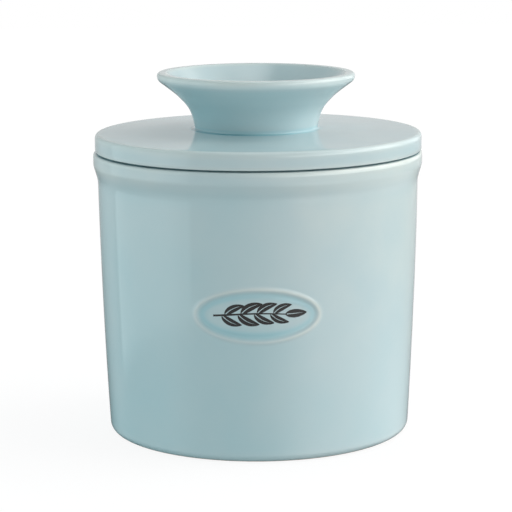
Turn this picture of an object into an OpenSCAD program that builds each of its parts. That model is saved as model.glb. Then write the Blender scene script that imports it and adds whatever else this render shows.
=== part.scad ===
// Bell-type butter crock in glazed stoneware: a pot, and a lid that carries the butter cup.
// The origin is the centre of the plane it stands on, +Z is up and the medallion faces -Y.

/* [Crock] */
// Height of the pot, from the table to its rim
rim_height = 86.2; // [80:0.1:110]
// Outer radius at the table, before the heel is rounded
base_radius = 46.2; // [44:0.1:47]
// Outer radius just under the lip
neck_radius = 48.9; // [48:0.1:52]
// How far the wall bellies out between the base and the neck
wall_bow = 0.42; // [0.2:0.01:1]
// Thickness of the wall
wall_thickness = 5; // [4:0.1:6]
// Thickness of the floor
floor_thickness = 5; // [4:0.1:7]
// Rounding of the outer bottom edge
heel_rounding = 2.5; // [1.5:0.1:4]
// Rounding between the wall and the floor, inside
inner_corner_rounding = 8; // [4:0.5:12]

/* [Lip] */
// How far the lip stands out from the neck
lip_flare = 1.15; // [0.6:0.05:2]
// Height of the upright band at the top of the lip
lip_band = 3.9; // [3.6:0.1:5]
// Depth below the rim at which the flare runs out into the wall
lip_depth = 8.4; // [7.5:0.1:11]
// Rounding of the rim's outer edge
rim_outer_rounding = 2.8; // [1.5:0.1:3]
// Rounding of the rim's inner edge
rim_inner_rounding = 1.5; // [0.5:0.1:1.6]
// Rounding of the lip's lower shoulder
lip_shoulder_rounding = 6; // [3:0.5:6]
// Rounding where the lip's flare meets the wall
neck_rounding = 10; // [5:0.5:12]

/* [Foot] */
// Width of the ring that stands on the table
foot_ring_width = 5; // [3.5:0.1:7]
// Depth of the recess inside the foot ring
foot_recess = 1.5; // [1:0.1:2]
// Slant of the recess wall, across its depth
foot_slant = 1; // [0.5:0.1:2]
// Rounding of the foot ring's inner edge
foot_edge_rounding = 0.5; // [0.3:0.1:0.8]

/* [Medallion] */
// Width of the oval, over its ridge
medallion_width = 36.9; // [26:0.1:44]
// Height of the oval, over its ridge
medallion_height = 16.6; // [10:0.1:20]
// Height of the oval's centre above the table
medallion_level = 44.1; // [30:0.1:55]
// Width of the ridge
ridge_width = 1.1; // [0.8:0.1:2]
// How far the ridge stands out from the wall
ridge_proud = 0.4; // [0.2:0.05:0.8]
// How far the panel inside the ridge is sunk
panel_sunk = 0.25; // [0.1:0.05:0.6]

/* [Lid plate] */
// Thickness of the plate
plate_thickness = 5.4; // [4:0.1:8]
// How far the plate's edge stands in from the lip
plate_inset = 0.2; // [0:0.1:1.5]
// Rounding of the plate's upper edge
plate_top_rounding = 2; // [1:0.1:2.6]
// Rounding of the plate's lower edge
plate_bottom_rounding = 0.6; // [0.4:0.1:1.2]
// Width of the land on which the plate rests, beyond the rim's inner rounding
seat_width = 1.2; // [1:0.1:1.6]
// Height by which the plate's edge clears the rim, outside that land
edge_clearance = 0.3; // [0.2:0.05:0.5]

/* [Locating ring] */
// Play between the locating ring and the inside of the rim, all round
lid_play = 1; // [0.5:0.1:2]
// Width of the locating ring
locating_ring_width = 3; // [2.4:0.1:4]
// Height of the locating ring under the plate
locating_ring_height = 2.5; // [1.8:0.1:4]
// Rounding of the locating ring's edges
locating_ring_rounding = 0.9; // [0.3:0.1:1.1]

/* [Knob] */
// Height of the knob above the plate
knob_height = 18.3; // [17:0.1:26]
// Outer radius of the knob's rim
knob_rim_radius = 30; // [27:0.1:36]
// Outer radius of the knob where it meets the plate
knob_foot_radius = 18.55; // [16:0.05:19.4]
// Outer radius at the waist, where the knob starts to flare
knob_waist_radius = 20; // [19:0.1:22]
// Height of the waist above the plate
knob_waist_height = 7.3; // [5:0.1:8.5]
// Outer radius halfway up the flare
knob_flare_radius = 24.35; // [23.5:0.05:26]
// Height of that point above the plate
knob_flare_height = 11.85; // [11.2:0.05:12.6]
// Upright height of the knob's rim, before it is rounded
knob_rim_height = 2.15; // [2:0.05:3]
// Width of the knob's rim across the top
knob_rim_width = 2.7; // [2.3:0.1:4]
// Thickness of the knob's wall at the waist
knob_wall = 3.6; // [3:0.1:5]
// Rounding where the knob meets the plate
knob_foot_rounding = 1.6; // [0.8:0.1:2]
// Rounding of the waist
knob_waist_rounding = 11; // [6:0.5:12]
// Rounding halfway up the flare
knob_flare_rounding = 20; // [10:1:24]
// Rounding under the knob's rim
knob_bead_rounding = 2.1; // [1:0.1:2.1]
// Rounding of the knob's rim, along its top edges
knob_rim_rounding = 1; // [0.5:0.1:1.1]
// Rounding of the waist, inside the hollow
knob_throat_rounding = 10; // [5:0.5:12]
// Rounding between the hollow's wall and its floor
knob_well_rounding = 6; // [3:0.5:8]

/* [Butter bell] */
// Outer radius at the mouth
bell_mouth_radius = 32; // [29:0.1:36]
// Outer radius where the bell leaves the plate
bell_root_radius = 30; // [27:0.1:33]
// Thickness of the bell's wall
bell_wall = 4.2; // [3.5:0.1:5]
// Height of the mouth above the crock's floor, which the water fills
water_gap = 15.5; // [8:0.5:30]
// Rounding of the bell's domed end
bell_dome_rounding = 12; // [6:0.5:18]
// Rounding of the mouth's edges
bell_mouth_rounding = 1.6; // [0.8:0.1:1.7]
// Rounding where the bell meets the plate
bell_root_rounding = 4; // [2:0.5:5]

/* [Hidden] */

glaze_colour = [0.62, 0.76, 0.78];
lid_glaze_colour = [0.66, 0.78, 0.79];

// Share of the wall's height that the bow's arc takes; the rest runs straight to the heel and neck
belly_arc_share = 0.9;

// Sides of a full turn
turn_sides = 180;

// A rounding larger than this is a nearly flat bow, and is drawn as this many short chords
flat_bow = 200;
bow_chords = 16;

// How far a rounded corner's piece reaches into the outline that it is joined to
segment_overlap = 1.5;

// Crock
lip_radius = neck_radius + lip_flare;
lip_band_level = rim_height - lip_band;
neck_level = rim_height - lip_depth;
belly_level = neck_level / 2;
belly_corner_proud = wall_bow / (1 - belly_arc_share / 2);
belly_radius = (base_radius + neck_radius) / 2 + belly_corner_proud;
belly_rounding = belly_arc_share * pow(belly_level, 2) / belly_corner_proud;
floor_level = foot_recess + floor_thickness;
rim_inner_radius = neck_radius - wall_thickness;
floor_radius = base_radius - wall_thickness;
foot_outer_radius = base_radius - heel_rounding;
foot_inner_radius = foot_outer_radius - foot_ring_width;

// Lid
plate_radius = lip_radius - plate_inset;
plate_underside = rim_height;
plate_top = plate_underside + plate_thickness;
plate_edge_level = plate_underside + edge_clearance;
seat_radius = rim_inner_radius + rim_inner_rounding + seat_width;
locating_ring_radius = rim_inner_radius - lid_play;
locating_ring_inner_radius = locating_ring_radius - locating_ring_width;
locating_ring_level = plate_underside - locating_ring_height;
knob_top = plate_top + knob_height;
knob_rim_inner_radius = knob_rim_radius - knob_rim_width;
bell_mouth_level = floor_level + water_gap;

// The hollow's wall: its lower part keeps the knob's draft, and its upper part keeps the slope of
// the flare's upper part, down from the rim's inner edge. They meet at the throat.
knob_draft = (knob_waist_radius - knob_foot_radius) / knob_waist_height;
knob_slope = (knob_rim_radius - knob_flare_radius) / (knob_height - knob_rim_height - knob_flare_height);
knob_well_radius = knob_foot_radius - knob_wall;
knob_throat_height = (knob_rim_inner_radius - knob_well_radius - knob_slope * knob_height)
    / (knob_draft - knob_slope);
knob_throat_radius = knob_well_radius + knob_draft * knob_throat_height;

// Outlines: each corner is [radius, height, rounding], and the corners run counter-clockwise.
function corner_at(c) = [c[0], c[1]];
function unit(v) = v / norm(v);
function before(corners, i) = corner_at(corners[(i + len(corners) - 1) % len(corners)]);
function after(corners, i) = corner_at(corners[(i + 1) % len(corners)]);
function to_before(corners, i) = unit(before(corners, i) - corner_at(corners[i]));
function to_after(corners, i) = unit(after(corners, i) - corner_at(corners[i]));
function half_angle(corners, i) = acos(to_before(corners, i) * to_after(corners, i)) / 2;
function setback(corners, i) = corners[i][2] / tan(half_angle(corners, i));
function arc_start(corners, i) = corner_at(corners[i]) + setback(corners, i) * to_before(corners, i);
function arc_end(corners, i) = corner_at(corners[i]) + setback(corners, i) * to_after(corners, i);
function arc_centre(corners, i) = corner_at(corners[i])
    + corners[i][2] / sin(half_angle(corners, i)) * unit(to_before(corners, i) + to_after(corners, i));
function is_convex(corners, i) = cross(to_after(corners, i), to_before(corners, i)) > 0;
function is_bow(corners, i) = corners[i][2] > flat_bow;
function is_arc(corners, i) = corners[i][2] > 0 && !is_bow(corners, i);

// Points along a corner's rounding, from its start to its end
function bow_point(corners, i, share) = arc_centre(corners, i)
    + corners[i][2] * unit((1 - share) * (arc_start(corners, i) - arc_centre(corners, i))
                           + share * (arc_end(corners, i) - arc_centre(corners, i)));
function corner_points(corners, i) =
    is_bow(corners, i) ? [for (k = [0 : bow_chords]) bow_point(corners, i, k / bow_chords)]
    : is_arc(corners, i) ? [arc_start(corners, i), arc_end(corners, i)]
    : [corner_at(corners[i])];

// The part of a corner's circle that lies outside the chord, with a little that lies inside it
module corner_segment(corners, i) {
    rounding = corners[i][2];
    chord_middle = (arc_start(corners, i) + arc_end(corners, i)) / 2;
    outwards = corner_at(corners[i]) - chord_middle;
    beyond = corner_at(corners[i]) + outwards;
    within = chord_middle - min(rounding, segment_overlap) * unit(outwards);
    intersection() {
        translate(arc_centre(corners, i))
            circle(r = rounding, $fn = turn_sides);
        polygon([arc_start(corners, i), beyond, arc_end(corners, i), within]);
    }
}

// A closed outline whose rounded corners are true arcs
module rounded_outline(corners) {
    last = len(corners) - 1;
    difference() {
        union() {
            polygon([for (i = [0 : last]) each corner_points(corners, i)]);
            for (i = [0 : last])
                if (is_arc(corners, i) && is_convex(corners, i))
                    corner_segment(corners, i);
        }
        for (i = [0 : last])
            if (is_arc(corners, i) && !is_convex(corners, i))
                corner_segment(corners, i);
    }
}

module revolved(corners) {
    rotate_extrude($fn = turn_sides)
        rounded_outline(corners);
}

// Oval column that runs forward from the axis, in step with the medallion
module oval_column(width, height) {
    translate([0, 0, medallion_level])
        rotate([90, 0, 0])
            linear_extrude(lip_radius)
                scale([width / 2, height / 2])
                    circle(r = 1, $fn = turn_sides);
}

// The bowed wall as a solid drum, grown outwards by a given amount
module wall_drum(growth) {
    revolved([
        [0, 0, 0],
        [base_radius + growth, 0, 0],
        [belly_radius + growth, belly_level, belly_rounding],
        [neck_radius + growth, neck_level, 0],
        [0, neck_level, 0]
    ]);
}

module crock_body() {
    revolved([
        [0, foot_recess, 0],
        [foot_inner_radius - foot_slant, foot_recess, foot_edge_rounding],
        [foot_inner_radius, 0, foot_edge_rounding],
        [base_radius, 0, heel_rounding],
        [belly_radius, belly_level, belly_rounding],
        [neck_radius, neck_level, neck_rounding],
        [lip_radius, lip_band_level, lip_shoulder_rounding],
        [lip_radius, rim_height, rim_outer_rounding],
        [rim_inner_radius, rim_height, rim_inner_rounding],
        [floor_radius, floor_level, inner_corner_rounding],
        [0, floor_level, 0]
    ]);
}

// Ridge of the oval medallion, wrapped round the wall
module medallion_ridge() {
    intersection() {
        wall_drum(ridge_proud);
        difference() {
            oval_column(medallion_width, medallion_height);
            oval_column(medallion_width - 2 * ridge_width, medallion_height - 2 * ridge_width);
            cylinder(r = floor_radius + wall_thickness / 2, h = neck_level, $fn = turn_sides);
        }
    }
}

// What is taken off the wall inside the ridge
module medallion_panel() {
    difference() {
        oval_column(medallion_width - 2 * ridge_width, medallion_height - 2 * ridge_width);
        wall_drum(-panel_sunk);
    }
}

module crock() {
    color(glaze_colour) {
        difference() {
            crock_body();
            medallion_panel();
        }
        medallion_ridge();
    }
}

module bell_lid() {
    color(lid_glaze_colour)
        revolved([
            [0, plate_underside, 0],
            [bell_root_radius - bell_wall, plate_underside, bell_dome_rounding],
            [bell_mouth_radius - bell_wall, bell_mouth_level, bell_mouth_rounding],
            [bell_mouth_radius, bell_mouth_level, bell_mouth_rounding],
            [bell_root_radius, plate_underside, bell_root_rounding],
            [locating_ring_inner_radius, plate_underside, locating_ring_rounding],
            [locating_ring_inner_radius, locating_ring_level, locating_ring_rounding],
            [locating_ring_radius, locating_ring_level, locating_ring_rounding],
            [locating_ring_radius, plate_underside, locating_ring_rounding],
            [seat_radius, plate_underside, 0],
            [seat_radius + edge_clearance, plate_edge_level, 0],
            [plate_radius, plate_edge_level, plate_bottom_rounding],
            [plate_radius, plate_top, plate_top_rounding],
            [knob_foot_radius, plate_top, knob_foot_rounding],
            [knob_waist_radius, plate_top + knob_waist_height, knob_waist_rounding],
            [knob_flare_radius, plate_top + knob_flare_height, knob_flare_rounding],
            [knob_rim_radius, knob_top - knob_rim_height, knob_bead_rounding],
            [knob_rim_radius, knob_top, knob_rim_rounding],
            [knob_rim_inner_radius, knob_top, knob_rim_rounding],
            [knob_throat_radius, plate_top + knob_throat_height, knob_throat_rounding],
            [knob_well_radius, plate_top, knob_well_rounding],
            [0, plate_top, 0]
        ]);
}

crock();
bell_lid();
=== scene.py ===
import math

import bpy
import numpy as np
from mathutils import Matrix, Vector


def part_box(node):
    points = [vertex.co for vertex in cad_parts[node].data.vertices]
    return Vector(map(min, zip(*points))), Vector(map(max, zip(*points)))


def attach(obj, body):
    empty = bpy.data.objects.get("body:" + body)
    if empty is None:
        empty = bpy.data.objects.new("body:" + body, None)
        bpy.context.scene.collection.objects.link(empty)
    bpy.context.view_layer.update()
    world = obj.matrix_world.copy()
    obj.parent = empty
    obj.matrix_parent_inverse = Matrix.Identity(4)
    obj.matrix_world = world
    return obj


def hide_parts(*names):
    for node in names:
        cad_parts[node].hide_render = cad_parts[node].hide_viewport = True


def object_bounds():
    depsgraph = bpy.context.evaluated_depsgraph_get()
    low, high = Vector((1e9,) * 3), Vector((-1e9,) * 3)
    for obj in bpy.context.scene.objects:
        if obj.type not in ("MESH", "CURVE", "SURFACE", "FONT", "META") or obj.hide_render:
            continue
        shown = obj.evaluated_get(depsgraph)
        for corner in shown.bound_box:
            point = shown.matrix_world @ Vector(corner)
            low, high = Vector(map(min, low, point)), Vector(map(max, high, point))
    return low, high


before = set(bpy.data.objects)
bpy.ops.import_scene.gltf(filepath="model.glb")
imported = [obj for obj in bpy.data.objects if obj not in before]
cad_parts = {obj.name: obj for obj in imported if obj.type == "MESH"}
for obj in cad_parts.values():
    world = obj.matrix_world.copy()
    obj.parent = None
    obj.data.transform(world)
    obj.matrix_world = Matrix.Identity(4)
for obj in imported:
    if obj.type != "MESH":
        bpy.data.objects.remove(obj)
packed_low, packed_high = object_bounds()

# ---------------------------------------------------------------------------------------------
# The camera looks at the front of the pot from a little above the lid, far enough away that
# the pot keeps its true proportions. It is tipped down, and turned very slightly on its axis.
mm = 0.001
camera_place = Vector((-0.73 * mm, -664.3 * mm, 174.4 * mm))
camera_tip = math.radians(10.356)
camera_turn = math.radians(-0.449)
camera_sensor = 36.0
camera_lens = 154.39

camera_data = bpy.data.cameras.new("camera")
camera_data.sensor_width = camera_sensor
camera_data.lens = camera_lens
camera = bpy.data.objects.new("camera", camera_data)
camera.matrix_world = (Matrix.Translation(camera_place)
                       @ Matrix.Rotation(math.pi / 2 - camera_tip, 4, "X")
                       @ Matrix.Rotation(camera_turn, 4, "Z"))
bpy.context.scene.collection.objects.link(camera)
bpy.context.scene.camera = camera
bpy.context.scene.view_settings.view_transform = "Standard"

# ---------------------------------------------------------------------------------------------
# The table is a smooth white board, wide enough to run out of sight on every side.
# It shows as white, with the pot's soft shadow on it. The light it throws back up comes from
# the low screens below.
table_half_width = 1.6
table_white = (0.8, 0.8, 0.8, 1.0)
table_shadow_share = 0.16
table_glow = 1.05


def link(material, source, target):
    material.node_tree.links.new(source, target)


def add_node(material, kind, **settings):
    node = material.node_tree.nodes.new(kind)
    for name, value in settings.items():
        setattr(node, name, value)
    return node


board = bpy.data.materials.new("white_board")
board.use_nodes = True
board.node_tree.nodes.clear()
board_ray = add_node(board, "ShaderNodeLightPath")
board_white = add_node(board, "ShaderNodeBsdfDiffuse")
board_white.inputs["Color"].default_value = table_white
board_glow = add_node(board, "ShaderNodeEmission")
board_glow.inputs["Strength"].default_value = table_glow
board_face = add_node(board, "ShaderNodeMixShader")
board_face.inputs[0].default_value = 1 - table_shadow_share
board_clear = add_node(board, "ShaderNodeBsdfTransparent")
board_mix = add_node(board, "ShaderNodeMixShader")
board_out = add_node(board, "ShaderNodeOutputMaterial")
link(board, board_white.outputs[0], board_face.inputs[1])
link(board, board_glow.outputs[0], board_face.inputs[2])
link(board, board_ray.outputs["Is Camera Ray"], board_mix.inputs[0])
link(board, board_clear.outputs[0], board_mix.inputs[1])
link(board, board_face.outputs[0], board_mix.inputs[2])
link(board, board_mix.outputs[0], board_out.inputs["Surface"])

table_mesh = bpy.data.meshes.new("table")
table_mesh.from_pydata([(x * table_half_width, y * table_half_width, packed_low.z)
                        for x, y in ((-1, -1), (1, -1), (1, 1), (-1, 1))], [], [(0, 1, 2, 3)])
table_mesh.materials.append(board)
table = bpy.data.objects.new("table", table_mesh)
bpy.context.scene.collection.objects.link(table)

# ---------------------------------------------------------------------------------------------
# The light comes from soft screens that stand out of sight all round the pot, most of them
# white. The tall bright one is on the right, and a window is on the left. The low ones are the
# light that the table throws back up.
tent = bpy.data.worlds.new("light_tent")
tent.use_nodes = True
tent.node_tree.nodes.clear()
bpy.context.scene.world = tent
tent_place = add_node(tent, "ShaderNodeTexCoord")
tent_parts = add_node(tent, "ShaderNodeSeparateXYZ")
tent_rise = add_node(tent, "ShaderNodeMath", operation="ARCSINE")
tent_flat = add_node(tent, "ShaderNodeVectorMath", operation="MULTIPLY")
tent_flat.inputs[1].default_value = (1, 1, 0)
tent_round = add_node(tent, "ShaderNodeVectorMath", operation="NORMALIZE")
link(tent, tent_place.outputs["Generated"], tent_parts.inputs[0])
link(tent, tent_parts.outputs["Z"], tent_rise.inputs[0])
link(tent, tent_place.outputs["Generated"], tent_flat.inputs[0])
link(tent, tent_flat.outputs[0], tent_round.inputs[0])
tent_light = []


def soft_edge(value, outside, inside, softness):
    """1 on the inside of an edge and 0 on the outside, with a soft change between them."""
    edge = add_node(tent, "ShaderNodeMapRange", interpolation_type="SMOOTHSTEP")
    half = math.copysign(math.radians(softness) / 2, inside - outside)
    edge.inputs["From Min"].default_value = math.radians(outside) - half
    edge.inputs["From Max"].default_value = math.radians(outside) + half
    link(tent, value, edge.inputs["Value"])
    return edge.outputs["Result"]


def hang_screen(turn, half_width, side_softness, bottom, top, end_softness, brightness,
                tint=(1, 1, 1)):
    """A screen, placed in degrees. Its turn is from straight in front, and right is plus."""
    turn = math.radians(turn)
    facing = add_node(tent, "ShaderNodeVectorMath", operation="DOT_PRODUCT")
    facing.inputs[1].default_value = (math.sin(turn), -math.cos(turn), 0)
    away = add_node(tent, "ShaderNodeMath", operation="ARCCOSINE", use_clamp=False)
    link(tent, tent_round.outputs[0], facing.inputs[0])
    link(tent, facing.outputs["Value"], away.inputs[0])
    sides = soft_edge(away.outputs[0], half_width, 0, side_softness)
    lower = soft_edge(tent_rise.outputs[0], bottom, 90, end_softness)
    upper = soft_edge(tent_rise.outputs[0], top, -90, end_softness)
    ends = add_node(tent, "ShaderNodeMath", operation="MULTIPLY")
    share = add_node(tent, "ShaderNodeMath", operation="MULTIPLY")
    link(tent, lower, ends.inputs[0])
    link(tent, upper, ends.inputs[1])
    link(tent, ends.outputs[0], share.inputs[0])
    link(tent, sides, share.inputs[1])
    glow = add_node(tent, "ShaderNodeVectorMath", operation="SCALE")
    glow.inputs[0].default_value = [brightness * part for part in tint]
    link(tent, share.outputs[0], glow.inputs["Scale"])
    total = add_node(tent, "ShaderNodeVectorMath", operation="ADD")
    link(tent, glow.outputs[0], total.inputs[0])
    if tent_light:
        link(tent, tent_light[-1], total.inputs[1])
    tent_light.append(total.outputs[0])


cool = (0.95, 1.0, 1.01)
sky = (0.78, 0.97, 1.0)
warm = (1.0, 0.45, 0.35)
hang_screen(90, 28, 17, 38, 72, 15, 1.5)                # the tall bright screen on the right
hang_screen(90, 28, 17, 10, 38, 10, 1.6)                # and its lower half
hang_screen(74, 35, 30, 14, 36, 6, 1.6)                 # the long ones below it
hang_screen(74, 35, 30, -2, 14, 2, 1.75)
hang_screen(50, 40, 30, 12, 30, 5, 0.8)                 # and next to it, in front
hang_screen(50, 40, 30, -5, 12, 4, 1.85)
hang_screen(120, 30, 20, -5, 40, 8, 1.15)               # and behind
hang_screen(-14, 74, 50, -5, 9.5, 2, 0.68)              # the low strip in front
hang_screen(-14, 74, 50, -30, -5, 5, 0.74, cool)        # the table's light from in front
hang_screen(-14, 74, 50, -60, -30, 5, 0.26, cool)       # which is less close to the pot
hang_screen(-75, 45, 53, -54, 18, 25, 0.27, cool)       # from the left
hang_screen(85, 64, 50, -36, -14, 9, 0.74)              # and from the right
hang_screen(-86, 37, 1.5, -15.5, 45, 1.5, 0.64, sky)    # the window on the left
hang_screen(-102, 44, 32, -24, 69, 35, 0.74, cool)      # and the wall that it is in
hang_screen(0, 200, 10, 75, 95, 8, 1.2)                 # a round screen straight above
hang_screen(141, 64, 50, 34, 88, 20, 0.95)              # the ceiling, behind on the right
hang_screen(174, 36, 63, -11, 35, 15, 0.69)             # the backdrop
hang_screen(183, 40, 40, -25, 0, 7, 0.08)               # the table behind the pot
hang_screen(42, 57, 1.5, -15.5, 20, 1.5, 0.14, warm)    # a card in front on the right

tent_ray = add_node(tent, "ShaderNodeLightPath")
tent_screens = add_node(tent, "ShaderNodeBackground")
tent_white = add_node(tent, "ShaderNodeBackground")
tent_white.inputs["Color"].default_value = (1, 1, 1, 1)
tent_mix = add_node(tent, "ShaderNodeMixShader")
tent_out = add_node(tent, "ShaderNodeOutputWorld")
link(tent, tent_light[-1], tent_screens.inputs["Color"])
link(tent, tent_ray.outputs["Is Camera Ray"], tent_mix.inputs[0])
link(tent, tent_screens.outputs[0], tent_mix.inputs[1])
link(tent, tent_white.outputs[0], tent_mix.inputs[2])
link(tent, tent_mix.outputs[0], tent_out.inputs["Surface"])

# ---------------------------------------------------------------------------------------------
# The crock is a slip-cast stoneware pot with a beaded lip, a foot ring and an oval medallion.
# It is dipped in blue-green glaze, which runs thin and pale over each edge and pools in each
# crease. The foot ring is wiped clean before the firing, and shows the bare clay.
crock_low, crock_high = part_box("crock")
rim_height = crock_high.z
lip_radius = crock_high.x
lip_flare = 1.33 * mm
lip_band = 3.9 * mm
lip_depth = 8.4 * mm
lip_fall = 0.35 * mm
lip_edge_in = 0.15 * mm
lip_shoulder = 1.6 * mm
lip_under_rounding = 6 * mm
lip_shoulder_rounding = 2 * mm
lip_top_rounding = 0.7 * mm
mouth_rounding = 1.5 * mm
neck_rounding = 10 * mm
neck_radius = lip_radius - lip_flare
wall_taper = 2.7 * mm
base_radius = neck_radius - wall_taper
wall_bow = 0.42 * mm
wall_thickness = 5 * mm
floor_level = 6.5 * mm
floor_rounding = 8 * mm
foot_recess = 1.5 * mm
foot_slant = 1 * mm
foot_rounding = 0.5 * mm
heel_rounding = 2.5 * mm
foot_ring_width = 5 * mm
foot_outer_radius = base_radius - heel_rounding
foot_inner_radius = foot_outer_radius - foot_ring_width
clay_line = 0.35 * mm

# Outline from the middle of the foot, out and up the wall, over the lip and down the inside:
# [radius, height, rounding] of each corner
neck_level = rim_height - lip_depth
belly_arc_share = 0.9
belly_level = neck_level / 2
belly_corner = wall_bow / (1 - belly_arc_share / 2)
crock_corners = [
    (0, foot_recess, 0),
    (foot_inner_radius - foot_slant, foot_recess, foot_rounding),
    (foot_inner_radius, 0, foot_rounding),
    (base_radius, 0, heel_rounding),
    ((base_radius + neck_radius) / 2 + belly_corner, belly_level,
     belly_arc_share * belly_level ** 2 / belly_corner),
    (neck_radius, neck_level, neck_rounding),
    (lip_radius, rim_height - lip_band, lip_under_rounding),
    (lip_radius, rim_height - lip_shoulder, lip_shoulder_rounding),
    (lip_radius - lip_edge_in, rim_height - lip_fall, lip_top_rounding),
    (neck_radius - wall_thickness, rim_height, mouth_rounding),
    (base_radius - wall_thickness, floor_level, floor_rounding),
    (0, floor_level, 0),
]
arc_spacing = 0.3 * mm
straight_spacing = 1.3 * mm


def rounded_outline(corners):
    """Points along an outline whose corners are true arcs: radius, height and bend.
    The bend is 1 / rounding, with a plus on an outer corner and a minus in a crease."""
    outline = []
    for i, (radius, height, rounding) in enumerate(corners):
        corner = Vector((radius, height))
        if rounding == 0:
            outline.append((radius, height, 0.0))
            continue
        back = (Vector(corners[i - 1][:2]) - corner).normalized()
        onward = (Vector(corners[i + 1][:2]) - corner).normalized()
        half_angle = back.angle(onward) / 2
        centre = corner + (back + onward).normalized() * rounding / math.sin(half_angle)
        spoke = corner + back * rounding / math.tan(half_angle) - centre
        sweep = math.copysign(math.pi - 2 * half_angle, onward.cross(back))
        spacing = max(arc_spacing, min(straight_spacing, rounding / 12))
        steps = max(3, math.ceil(rounding * abs(sweep) / spacing))
        for k in range(steps + 1):
            point = centre + Matrix.Rotation(sweep * k / steps, 2) @ spoke
            outline.append((point.x, point.y, math.copysign(1 / rounding, sweep)))
    return outline


def filled_outline(outline, spacing, low=-1.0, high=1.0):
    """The outline with points added, so that between the two heights none are further apart."""
    filled = [outline[0]]
    for start, end in zip(outline, outline[1:]):
        length = math.hypot(end[0] - start[0], end[1] - start[1])
        inside = low <= min(start[1], end[1]) and max(start[1], end[1]) <= high
        steps = max(1, math.ceil(length / spacing)) if inside else 1
        straight = length > 2 * straight_spacing
        for k in range(1, steps):
            share = k / steps
            bend = 0.0 if straight else start[2] + share * (end[2] - start[2])
            filled.append((start[0] + share * (end[0] - start[0]),
                           start[1] + share * (end[1] - start[1]), bend))
        filled.append(end)
    return filled


def soft_bend(outline, reach):
    """The bend along an outline, blurred as the molten glaze blurs it by flowing."""
    points = np.array(outline)
    steps = np.hypot(np.diff(points[:, 0]), np.diff(points[:, 1]))
    along = np.concatenate([[0], np.cumsum(steps)])
    share = np.gradient(along)
    weight = np.exp(-((along[:, None] - along[None, :]) / reach) ** 2 / 2) * share[None, :]
    return weight @ points[:, 2] / weight.sum(axis=1)


# The glaze draws off an outer corner, gathers in a crease, and evens out over a short way
thinning = 0.33 * mm
pooling = 0.7 * mm
bend_blur = 0.45 * mm


def coat(bend):
    """How thick the glaze lies: 0.5 on a flat wall, less over an edge and more in a crease."""
    return 0.5 - 0.5 * np.tanh(np.where(bend > 0, thinning, pooling) * bend)


def spread(values, angles):
    """One value for each outline point, as a grid of outline points by angles round the axis."""
    return np.repeat(np.asarray(values, float)[:, None], len(angles), axis=1)


def turned_body(name, x, y, z, glaze):
    """A closed skin over a grid of points whose first and last rows each meet on the axis."""
    rows, columns = x.shape
    middle = np.stack([x[1:-1], y[1:-1], z[1:-1]], axis=-1).reshape(-1, 3)
    start = [x[0, 0], y[0, 0], z[0, 0]]
    end = [x[-1, 0], y[-1, 0], z[-1, 0]]
    index = np.arange((rows - 2) * columns).reshape(rows - 2, columns)
    across = np.roll(index, -1, axis=1)
    quads = np.stack([index[:-1], across[:-1], across[1:], index[1:]], axis=-1).reshape(-1, 4)
    first, last = len(middle), len(middle) + 1
    faces = quads.tolist()
    faces += [(first, across[0, k], index[0, k]) for k in range(columns)]
    faces += [(last, index[-1, k], across[-1, k]) for k in range(columns)]
    mesh = bpy.data.meshes.new(name)
    mesh.from_pydata(middle.tolist() + [start, end], [], faces)
    layer = mesh.attributes.new("glaze", "FLOAT", "POINT")
    values = np.concatenate([glaze[1:-1].ravel(), [glaze[0, 0], glaze[-1, 0]]])
    layer.data.foreach_set("value", values.astype(np.float32))
    mesh.shade_smooth()
    body = bpy.data.objects.new(name, mesh)
    bpy.context.scene.collection.objects.link(body)
    return body


# The medallion: an oval ridge raised on the wall, with a shallow channel inside it. The ridge
# came out lower at its upper right.
oval_half_width = 17.9 * mm
oval_half_height = 7.75 * mm
oval_level = 44.15 * mm
oval_aside = -0.4 * mm
ridge_height = 0.25 * mm
ridge_half_width = 0.7 * mm
panel_sunk = 0.17 * mm
channel_depth = 0.1 * mm
channel_inset = 1.5 * mm
channel_width = 0.8 * mm
ridge_loss = 0.4
crest_width = 0.72 * mm
crest_thinning = 0.3
pool_inset = 1.9 * mm
pool_width = 1.25 * mm
pool_depth = 0.34
panel_thinning = 0.06


def oval_distance(x, z):
    """How far a point of the wall lies outside the crest of the ridge, and less than 0 inside."""
    across = (x - oval_aside) / oval_half_width
    up = (z - oval_level) / oval_half_height
    reach = np.sqrt(across ** 2 + up ** 2) + 1e-9
    slope = np.sqrt((across / oval_half_width) ** 2 + (up / oval_half_height) ** 2) / reach + 1e-9
    return (reach - 1) / slope


def smooth_step(low, high, value):
    """0 below the low value and 1 above the high one, with a smooth rise between them."""
    share = np.clip((value - low) / (high - low), 0, 1)
    return share * share * (3 - 2 * share)


def medallion_relief(distance, pressed=1.0):
    """How far the medallion stands out from the wall. Pressed is how fully the ridge came out."""
    ridge = pressed * ridge_height * np.exp(-(distance / ridge_half_width) ** 2)
    channel = channel_depth * np.exp(-((distance + channel_inset) / channel_width) ** 2)
    panel = panel_sunk * smooth_step(0, channel_inset, -distance)
    return ridge - channel - panel


def medallion_glaze(distance):
    """Thinner on the ridge, pooled in the channel inside it, and a little thin on the panel."""
    crest = crest_thinning * np.exp(-(distance / crest_width) ** 2)
    pool = pool_depth * np.exp(-((distance + pool_inset) / pool_width) ** 2)
    return pool - crest - panel_thinning * smooth_step(2 * mm, 4 * mm, -distance)


# Cast ware is never quite round
uneven = 0.045 * mm


def unevenness(angle, height):
    turn = height / rim_height * math.pi
    return uneven * (np.sin(2 * angle + 0.8 + turn) + 0.5 * np.sin(3 * angle - 1.1 * turn)
                     + 0.35 * np.sin(5 * angle + 2.3 * turn + 1.0))


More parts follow.
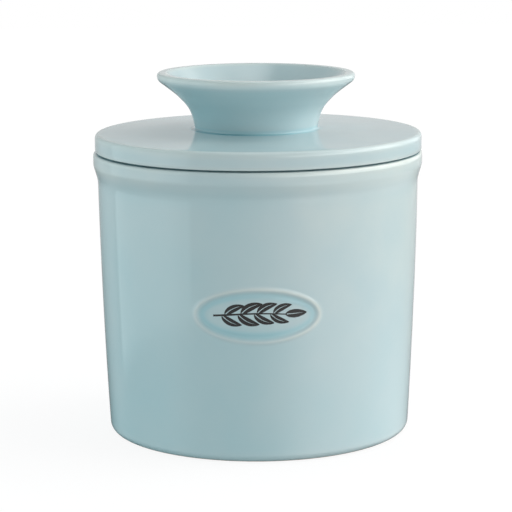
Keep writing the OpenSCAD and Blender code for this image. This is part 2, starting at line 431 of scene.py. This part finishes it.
front_half_angle = math.radians(25)
front_columns = 200
round_columns = 240
front = np.linspace(-front_half_angle, front_half_angle, front_columns, endpoint=False)
rest = np.linspace(front_half_angle, 2 * math.pi - front_half_angle, round_columns, endpoint=False)
crock_angles = np.concatenate([front, rest])
medallion_margin = 3 * mm
medallion_spacing = 0.25 * mm
medallion_low = oval_level - oval_half_height - medallion_margin
medallion_high = oval_level + oval_half_height + medallion_margin

crock_outline = filled_outline(rounded_outline(crock_corners), straight_spacing)
crock_outline = filled_outline(crock_outline, medallion_spacing, medallion_low, medallion_high)
outline_radius = np.array([point[0] for point in crock_outline])
outline_height = np.array([point[1] for point in crock_outline])
bend = soft_bend(crock_outline, bend_blur)
radius = spread(outline_radius, crock_angles)
height = spread(outline_height, crock_angles)
angle = np.repeat(crock_angles[None, :], len(crock_outline), axis=0)
glaze = spread(coat(bend), crock_angles)

lip_top_row = int(np.argmax(outline_height > rim_height - lip_fall))
outer_wall = (np.arange(len(crock_outline)) < lip_top_row) & (outline_height > clay_line)
crock_wall_heights = outline_height[outer_wall]
crock_wall_radii = outline_radius[outer_wall]

# The glaze is darker and bluer low on the wall. It is paler on the right and darker on the left,
# most of all low down, which is painted light and shade. A darker strip a little left of the front
# is painted shade, and a paler band under the lip on the left is painted light.
darkening_height = 70 * mm
shade_strip_turn = -0.2
shade_strip_spread = 0.05
lifted_below_rim = 4.2 * mm
lifted_band_height = 3 * mm
low_down = np.clip(1 - height / darkening_height, 0, 1)
low_darkening = 0.2 * low_down
# Painted light and shade: paler on the right, darker on the left and most of all low down
painted_side_light = -(0.13 + 0.05 * low_down) * np.sin(angle)
# Painted shade: a darker upright strip a little left of the front
painted_shade_strip = 0.1 * np.exp((np.cos(angle - shade_strip_turn) - 1) / shade_strip_spread)
# Painted light: a paler band under the lip on the left, which lifts the shade there
under_lip = (height - rim_height + lifted_below_rim) / lifted_band_height
painted_light_under_lip = 0.24 * np.clip(-np.sin(angle), 0, 1) * np.exp(-under_lip ** 2)
glaze = glaze + np.where(outer_wall[:, None], low_darkening + painted_side_light + painted_shade_strip - painted_light_under_lip, 0)

# and it is darker on the flat of the rim, which is painted shade for the dark seam under the lid's
# edge
rim_flat_depth = 0.45 * mm
rim_seam_shade = 0.35 * (1 - smooth_step(lip_radius - 1.2 * mm, lip_radius - 0.4 * mm, radius))
glaze = glaze + np.where(height > rim_height - rim_flat_depth, rim_seam_shade, 0)

# The medallion stands out from the front of the wall, and the whole pot is a touch uneven
oval_away = oval_distance(radius * np.sin(angle), height)
up_right = ((radius * np.sin(angle) - oval_aside) / oval_half_width
            + (height - oval_level) / oval_half_height)
pressed = 1 - ridge_loss * smooth_step(0, 1.4, up_right)
in_front = (outer_wall[:, None] & (np.cos(angle) > 0)).astype(float)
glaze = glaze + in_front * medallion_glaze(oval_away)
radius = radius + in_front * medallion_relief(oval_away, pressed)
radius = radius + unevenness(angle, height) * smooth_step(0, 10 * mm, radius)
radius = np.minimum(radius, lip_radius)

# The pot leans a hair, with its foot to the left
foot_aside = -0.12 * mm
lean = foot_aside * (1 - height / rim_height)
pot = turned_body("pot", radius * np.sin(angle) + lean, -radius * np.cos(angle), height, glaze)

# Glaze: a glassy coat over the clay. It is pale where the coat is thin, even at a thickness of
# 0.5, and full blue-green where it has pooled to 1. The darkest is in the deepest creases.
glaze_thin = (0.63, 0.67, 0.615, 1)
glaze_even = (0.43, 0.552, 0.572, 1)
glaze_pooled = (0.30, 0.505, 0.55, 1)
glaze_deep = (0.14, 0.32, 0.37, 1)
thickest_coat = 1.4
even_coat = 0.5
pooled_coat = 1.0
cloud_size = 45.0
cloud_depth = 0.34
glaze_roughness = 0.045
glaze_ior = 1.5


def make_glaze(name):
    material = bpy.data.materials.new(name)
    material.use_nodes = True
    shader = material.node_tree.nodes["Principled BSDF"]
    shader.inputs["Roughness"].default_value = glaze_roughness
    shader.inputs["IOR"].default_value = glaze_ior
    place = add_node(material, "ShaderNodeTexCoord")
    thickness = add_node(material, "ShaderNodeAttribute", attribute_name="glaze")
    clouds = add_node(material, "ShaderNodeTexNoise")
    clouds.inputs["Scale"].default_value = cloud_size
    clouds.inputs["Detail"].default_value = 4.0
    uneven_coat = add_node(material, "ShaderNodeMath", operation="MULTIPLY_ADD")
    uneven_coat.inputs[1].default_value = cloud_depth
    coat = add_node(material, "ShaderNodeMath", operation="ADD")
    coat_share = add_node(material, "ShaderNodeMath", operation="DIVIDE")
    coat_share.inputs[1].default_value = thickest_coat
    colour = add_node(material, "ShaderNodeValToRGB")
    colour.color_ramp.elements[0].color = glaze_thin
    colour.color_ramp.elements[1].color = glaze_deep
    colour.color_ramp.elements.new(even_coat / thickest_coat).color = glaze_even
    colour.color_ramp.elements.new(pooled_coat / thickest_coat).color = glaze_pooled
    link(material, place.outputs["Object"], clouds.inputs["Vector"])
    link(material, clouds.outputs[0], uneven_coat.inputs[0])
    uneven_coat.inputs[2].default_value = -cloud_depth / 2
    link(material, uneven_coat.outputs[0], coat.inputs[0])
    link(material, thickness.outputs["Fac"], coat.inputs[1])
    link(material, coat.outputs[0], coat_share.inputs[0])
    link(material, coat_share.outputs[0], colour.inputs["Fac"])
    link(material, colour.outputs["Color"], shader.inputs["Base Color"])
    return material


# Bare stoneware, where the glaze was wiped off so that the ware could stand in the kiln
clay_colour = (0.52, 0.45, 0.36, 1)
clay_dark = (0.40, 0.34, 0.27, 1)
clay_roughness = 0.85
grain_size = 1400.0
grain_height = 0.06 * mm


def make_clay(name):
    material = bpy.data.materials.new(name)
    material.use_nodes = True
    shader = material.node_tree.nodes["Principled BSDF"]
    shader.inputs["Roughness"].default_value = clay_roughness
    place = add_node(material, "ShaderNodeTexCoord")
    grain = add_node(material, "ShaderNodeTexNoise")
    grain.inputs["Scale"].default_value = grain_size
    grain.inputs["Detail"].default_value = 4.0
    colour = add_node(material, "ShaderNodeValToRGB")
    colour.color_ramp.elements[0].position = 0.35
    colour.color_ramp.elements[0].color = clay_dark
    colour.color_ramp.elements[1].position = 0.6
    colour.color_ramp.elements[1].color = clay_colour
    relief = add_node(material, "ShaderNodeBump")
    relief.inputs["Distance"].default_value = grain_height
    link(material, place.outputs["Object"], grain.inputs["Vector"])
    link(material, grain.outputs[0], colour.inputs["Fac"])
    link(material, colour.outputs["Color"], shader.inputs["Base Color"])
    link(material, grain.outputs[0], relief.inputs["Height"])
    link(material, relief.outputs["Normal"], shader.inputs["Normal"])
    return material


def show_clay(body, low, high):
    """Bare clay on every face of the body whose middle is between two heights."""
    middles = np.empty(3 * len(body.data.polygons))
    body.data.polygons.foreach_get("center", middles)
    level = middles[2::3]
    is_clay = ((level > low) & (level < high)).astype(np.int32)
    body.data.polygons.foreach_set("material_index", is_clay)


glaze_material = make_glaze("aqua_glaze")
clay_material = make_clay("bare_clay")
for material in (glaze_material, clay_material):
    pot.data.materials.append(material)
show_clay(pot, crock_low.z - mm, clay_line)
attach(pot, "crock")
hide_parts("crock")

# ---------------------------------------------------------------------------------------------
# The sprig is a leafy twig printed in black on the medallion's panel, from a transfer that is
# fired on. It is a thin layer of colour, and follows the curve of the wall.
sprig_centre = Vector((0.2 * mm, 44.4 * mm))
sprig_half_length = 13.4 * mm
sprig_sway = 0.5 * mm
twig_half_width = 0.3 * mm
leaf_length = 7.5 * mm
leaf_half_width = 1.3 * mm
leaf_vein = 0.14 * mm
leaf_slant = math.radians(52)
leaf_curl = math.radians(26)
leaf_pairs = 4
first_pair = 0.14
pair_spacing = 0.22
pair_stagger = 0.02
end_leaf_foot = 0.98
end_leaf_tilt = 0.05
end_leaf_half_width = 0.95 * leaf_half_width
end_leaf_length = 6.2 * mm
print_proud = 0.03 * mm
print_sunk = 0.04 * mm
leaf_steps = 20
twig_steps = 40
print_steps_across = 4


def panel_point(x, z, lift):
    """The point of the medallion's panel at that place, lifted off it."""
    wall = np.interp(z, crock_wall_heights, crock_wall_radii)
    away = wall + medallion_relief(oval_distance(x, z))
    away += unevenness(np.arcsin(x / away), z) + lift
    return x, -math.sqrt(away * away - x * x), z


def printed_strip(lower_edge, upper_edge, points, faces):
    """A thin closed slab of print between two edges, laid over the panel."""
    across = print_steps_across
    rings = []
    for low, high in zip(lower_edge, upper_edge):
        line = [low.lerp(high, k / across) for k in range(across + 1)]
        ring = [panel_point(p.x, p.y, print_proud) for p in line]
        ring += [panel_point(p.x, p.y, -print_sunk) for p in reversed(line)]
        rings.append(ring)
    first, size = len(points), len(rings[0])
    for ring in rings:
        points.extend(ring)
    for row in range(len(rings) - 1):
        for k in range(size):
            a = first + row * size + k
            b = first + row * size + (k + 1) % size
            faces.append((a, b, b + size, a + size))
    last = first + (len(rings) - 1) * size
    faces.append(tuple(range(first + size - 1, first - 1, -1)))
    faces.append(tuple(range(last, last + size)))


def twig(share):
    """The twig's middle line, from its cut end at 0 to the foot of the end leaf at 1."""
    x = share * (2 * sprig_half_length - 0.9 * end_leaf_length) - sprig_half_length
    return sprig_centre + Vector((x, sprig_sway * math.sin(3.4 * share - 0.6)))


def leaf_outline(share):
    """Half the leaf's width, 1 at its widest: rounded at the foot and pointed at the tip."""
    return 2.6 * share ** 0.6 * (1 - share) ** 0.8


def print_leaf(foot, heading, side, length, width, points, faces):
    """Two halves of a leaf with a bare vein between them. On side 1 or -1 it curls forwards."""
    left_half, right_half = [], []
    for k in range(1, leaf_steps):
        share = (1 - math.cos(math.pi * k / leaf_steps)) / 2
        turn = heading - side * leaf_curl * share
        along = Vector((math.cos(turn), math.sin(turn)))
        out = Vector((-along.y, along.x))
        spine = foot + length * share * along
        half = width * leaf_outline(share)
        vein = min(0.6 * half, leaf_vein * max(0, 1 - share / 0.8) ** 0.5)
        left_half.append((spine + vein * out, spine + half * out))
        right_half.append((spine - half * out, spine - vein * out))
    for pairs in (left_half, right_half):
        printed_strip([pair[0] for pair in pairs], [pair[1] for pair in pairs], points, faces)


print_points, print_faces = [], []
twig_line = [twig(k / twig_steps) for k in range(twig_steps + 1)]
twig_taper = [twig_half_width * (1 - 0.45 * k / twig_steps) for k in range(twig_steps + 1)]
up = Vector((0, 1))
printed_strip([p - w * up for p, w in zip(twig_line, twig_taper)],
              [p + w * up for p, w in zip(twig_line, twig_taper)], print_points, print_faces)
for pair in range(leaf_pairs):
    share = first_pair + pair_spacing * pair
    size = 0.92 - 0.26 * abs(pair - 1) / leaf_pairs
    for side in (1, -1):
        foot = twig(share + pair_stagger * side)
        print_leaf(foot, side * leaf_slant, side, leaf_length * size, leaf_half_width * size,
                   print_points, print_faces)
print_leaf(twig(end_leaf_foot), end_leaf_tilt, 0, end_leaf_length, end_leaf_half_width,
           print_points, print_faces)

sprig_mesh = bpy.data.meshes.new("leaf_sprig")
sprig_mesh.from_pydata(print_points, [], print_faces)
sprig = bpy.data.objects.new("leaf_sprig", sprig_mesh)
bpy.context.scene.collection.objects.link(sprig)

print_black = (0.006, 0.007, 0.008, 1)
print_brown = (0.012, 0.011, 0.010, 1)
print_roughness = 0.16
print_cloud_size = 900.0
ink = bpy.data.materials.new("black_print")
ink.use_nodes = True
ink_shader = ink.node_tree.nodes["Principled BSDF"]
ink_shader.inputs["Roughness"].default_value = print_roughness
ink_place = add_node(ink, "ShaderNodeTexCoord")
ink_cloud = add_node(ink, "ShaderNodeTexNoise")
ink_cloud.inputs["Scale"].default_value = print_cloud_size
ink_tone = add_node(ink, "ShaderNodeValToRGB")
ink_tone.color_ramp.elements[0].color = print_black
ink_tone.color_ramp.elements[1].color = print_brown
link(ink, ink_place.outputs["Object"], ink_cloud.inputs["Vector"])
link(ink, ink_cloud.outputs[0], ink_tone.inputs["Fac"])
link(ink, ink_tone.outputs["Color"], ink_shader.inputs["Base Color"])
sprig_mesh.materials.append(ink)
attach(sprig, "crock")

# ---------------------------------------------------------------------------------------------
# The lid is one piece of the same stoneware: a round plate that rises a little to a flared
# hollow knob, a low ring below that centres it in the rim, and the domed bell that holds the
# butter. They are luted together before the firing, and only the bell's mouth is left bare.
lid_low, lid_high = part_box("bell_lid")
plate_thickness = 5.4 * mm
edge_clearance = 0.2 * mm
plate_underside = rim_height
plate_edge_level = plate_underside + edge_clearance
plate_top = plate_underside + plate_thickness
plate_inset = 0.2 * mm
plate_radius = lid_high.x - plate_inset
plate_edge_in = 0.25 * mm
plate_shoulder = 1.2 * mm
knob_top = lid_high.z
knob_height = knob_top - plate_top
knob_foot_radius = 18.55 * mm
plate_crown = 1.1 * mm
plate_bottom_rounding = 0.3 * mm
plate_shoulder_rounding = 2 * mm
plate_top_rounding = 1.15 * mm
knob_waist_radius = 20 * mm
knob_waist_height = 7.3 * mm
knob_flare_radius = 24.35 * mm
knob_flare_height = 11.85 * mm
knob_rim_radius = 30 * mm
knob_rim_height = 2.15 * mm
knob_rim_width = 2.7 * mm
knob_wall = 3.6 * mm
knob_foot_rounding = 0.6 * mm
knob_waist_rounding = 11 * mm
knob_flare_rounding = 20 * mm
knob_bead_rounding = 2.1 * mm
knob_rim_rounding = 1 * mm
throat_rounding = 10 * mm
well_rounding = 6 * mm
mouth_radius = neck_radius - wall_thickness
ring_play = 1 * mm
ring_radius = mouth_radius - ring_play
seat_reach = 2.7 * mm
seat_radius = mouth_radius + seat_reach
ring_width = 3 * mm
ring_height = 2.5 * mm
ring_rounding = 0.9 * mm
ring_level = plate_underside - ring_height
bell_mouth_level = lid_low.z
bell_mouth_radius = 32 * mm
bell_root_radius = 30 * mm
bell_wall = 4.2 * mm
bell_dome_rounding = 12 * mm
bell_mouth_rounding = 1.6 * mm
bell_root_rounding = 4 * mm
bare_mouth_depth = 0.1 * mm

# The hollow keeps the draft of the knob's lower part and the slope of its upper part
knob_draft = (knob_waist_radius - knob_foot_radius) / knob_waist_height
knob_slope = ((knob_rim_radius - knob_flare_radius)
              / (knob_height - knob_rim_height - knob_flare_height))
well_radius = knob_foot_radius - knob_wall
throat_height = ((knob_rim_radius - knob_rim_width - well_radius - knob_slope * knob_height)
                 / (knob_draft - knob_slope))
lid_corners = [
    (0, plate_underside, 0),
    (bell_root_radius - bell_wall, plate_underside, bell_dome_rounding),
    (bell_mouth_radius - bell_wall, bell_mouth_level, bell_mouth_rounding),
    (bell_mouth_radius, bell_mouth_level, bell_mouth_rounding),
    (bell_root_radius, plate_underside, bell_root_rounding),
    (ring_radius - ring_width, plate_underside, ring_rounding),
    (ring_radius - ring_width, ring_level, ring_rounding),
    (ring_radius, ring_level, ring_rounding),
    (ring_radius, plate_underside, ring_rounding),
    (seat_radius, plate_underside, 0),
    (seat_radius + edge_clearance, plate_edge_level, 0),
    (plate_radius, plate_edge_level, plate_bottom_rounding),
    (plate_radius, plate_top - plate_shoulder, plate_shoulder_rounding),
    (plate_radius - plate_edge_in, plate_top, plate_top_rounding),
    (knob_foot_radius, plate_top + plate_crown, knob_foot_rounding),
    (knob_waist_radius, plate_top + knob_waist_height, knob_waist_rounding),
    (knob_flare_radius, plate_top + knob_flare_height, knob_flare_rounding),
    (knob_rim_radius, knob_top - knob_rim_height, knob_bead_rounding),
    (knob_rim_radius, knob_top, knob_rim_rounding),
    (knob_rim_radius - knob_rim_width, knob_top, knob_rim_rounding),
    (well_radius + knob_draft * throat_height, plate_top + throat_height, throat_rounding),
    (well_radius, plate_top, well_rounding),
    (0, plate_top, 0),
]
lid_columns = 384
lid_angles = np.linspace(0, 2 * math.pi, lid_columns, endpoint=False)
lid_outline = filled_outline(rounded_outline(lid_corners), straight_spacing)
lid_bend_blur = 0.35 * mm
bend = soft_bend(lid_outline, lid_bend_blur)
radius = spread([point[0] for point in lid_outline], lid_angles)
height = spread([point[1] for point in lid_outline], lid_angles)
angle = np.repeat(lid_angles[None, :], len(lid_outline), axis=0)
glaze = spread(coat(bend), lid_angles)

# The glaze is darker and bluer on the outside of the knob. It is paler on the knob's right, which
# is painted light.
knob_outside = np.arange(len(lid_outline)) < int(np.argmax(height[:, 0] > knob_top - 1 * mm))
knob_tone_and_side_light = (0.2 - 0.15 * np.sin(angle)) * smooth_step(plate_top + mm, plate_top + 3 * mm, height)
knob_tone_and_side_light = knob_tone_and_side_light * (1 - smooth_step(knob_top - 4 * mm, knob_top - 1 * mm, height))
glaze = glaze + np.where(knob_outside[:, None], knob_tone_and_side_light, 0)

# It lies thicker along the lower edge of the plate, where it gathers as it runs down the side, and
# this band is also painted shade for the dark seam between the lid and the rim.
edge_band_height = 0.6 * mm
drip_and_seam_shade = 0.35 * np.exp(-((height - plate_edge_level) / edge_band_height) ** 2)
glaze = glaze + drip_and_seam_shade * smooth_step(seat_radius, plate_radius - 1 * mm, radius)

# It pools in the crease round the foot of the knob, and this is also painted shade, darkest on the
# left, away from the light, and paler on the right.
crease_radius = knob_foot_radius + 0.5 * mm
crease_level = plate_top + plate_crown
crease_width = 0.35 * mm
crease_pool_and_shade = 0.4 * (1 - 1.2 * np.sin(angle))
crease_away = np.hypot((radius - crease_radius) / 2, height - crease_level)
glaze = glaze + crease_pool_and_shade * np.exp(-(crease_away / crease_width) ** 2)

# The lid sits a hair to the right on the pot. The knob was luted on a hair to the left, and
# dips to the right.
lid_aside = 0.2 * mm
knob_aside = -0.33 * mm
above_plate = plate_top + 2 * mm
within_plate = plate_top - 0.1 * mm
is_plate = smooth_step(knob_foot_radius + 3 * mm, plate_radius - 8 * mm, radius)
is_plate = np.where(height > above_plate, 0, is_plate)
is_plate = np.where(height < within_plate, 1, is_plate)
aside = knob_aside + (lid_aside - knob_aside) * is_plate
knob_lean = 0.3 * mm
leaning = np.clip((height - plate_top) / knob_height, 0, 1)
height = height - knob_lean * leaning * (1 + radius / knob_rim_radius * np.sin(angle)) / 2

lid = turned_body("bell_lid_body", radius * np.sin(angle) + aside, -radius * np.cos(angle),
                  height, glaze)
for material in (glaze_material, clay_material):
    lid.data.materials.append(material)
show_clay(lid, lid_low.z - mm, bell_mouth_level + bare_mouth_depth)
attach(lid, "bell_lid")
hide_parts("bell_lid")
